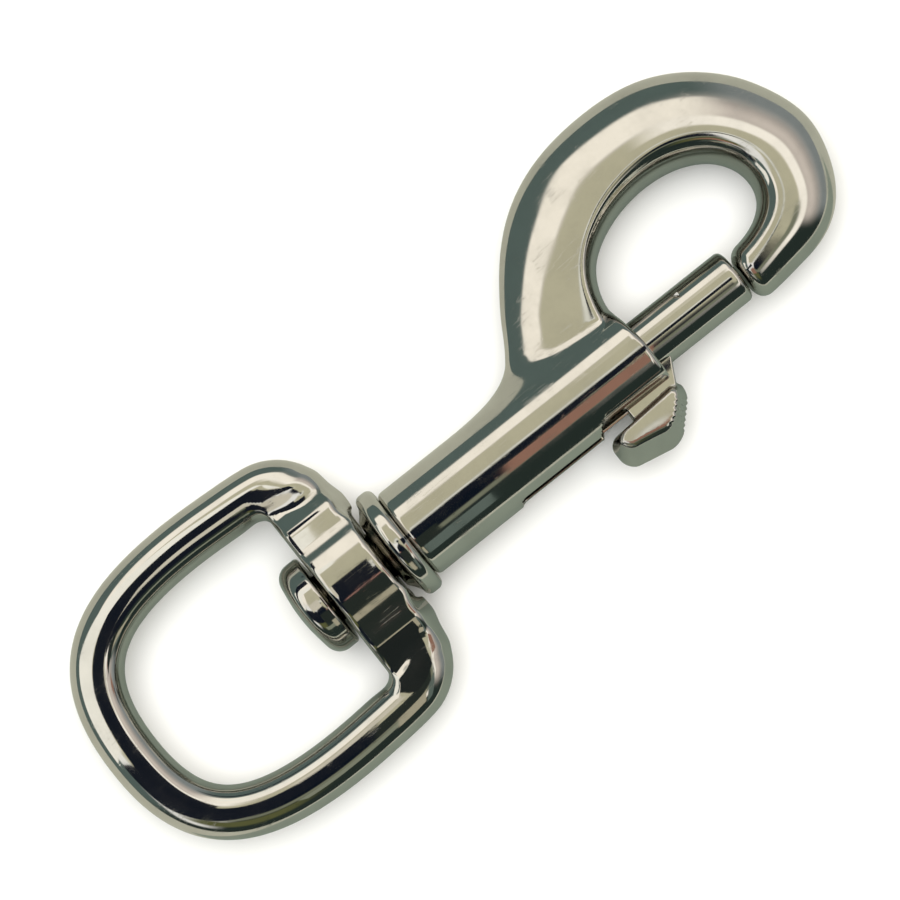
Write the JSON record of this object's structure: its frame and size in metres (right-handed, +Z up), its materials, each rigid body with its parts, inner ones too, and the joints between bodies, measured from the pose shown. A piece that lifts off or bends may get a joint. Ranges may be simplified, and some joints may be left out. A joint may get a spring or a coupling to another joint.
{
  "type": "swivel eye bolt snap",
  "caption": "Swivel-eye bolt snap: a cast hook whose mouth is closed by a sprung sliding bolt with a thumb lever, behind it a D-shaped swivel eye.",
  "frame": {"origin": "on the surface the snap lies on, under the middle of its length and width", "axes": "+X from the eye towards the hook, along the barrel; +Y towards the hook's back; +Z up, square to the plane of the hook"},
  "size_m": [0.1022, 0.0414, 0.0131],
  "materials": {
    "polished_casting": "polished casting, fine polishing lines",
    "polished_eye": "polished casting",
    "bright_turned": "turned and polished",
    "bright_bolt": "turned and polished",
    "polished_lever": "polished casting",
    "spring_wire": "drawn wire"
  },
  "bodies": {
    "barrel": {"hook_body": "polished_casting", "swivel_stud": "bright_turned", "spring": "spring_wire"},
    "gate": {"bolt": "bright_bolt", "thumb_lever": "polished_lever"},
    "eye": {"swivel_eye": "polished_eye"}
  },
  "joints": [
    {"name": "bolt_slide", "type": "slide", "parent": "barrel", "child": "gate", "axis": [1, 0, 0], "range_m": [-0.0126, 0], "stiffness_N_per_m": 900, "springref_m": 0.007, "deforming": ["spring"]},
    {"name": "eye_swivel", "type": "hinge", "parent": "barrel", "child": "eye", "pos_m": [-0.0177, -0.00325, 0.00655], "axis": [1, 0, 0], "continuous": true}
  ]
}
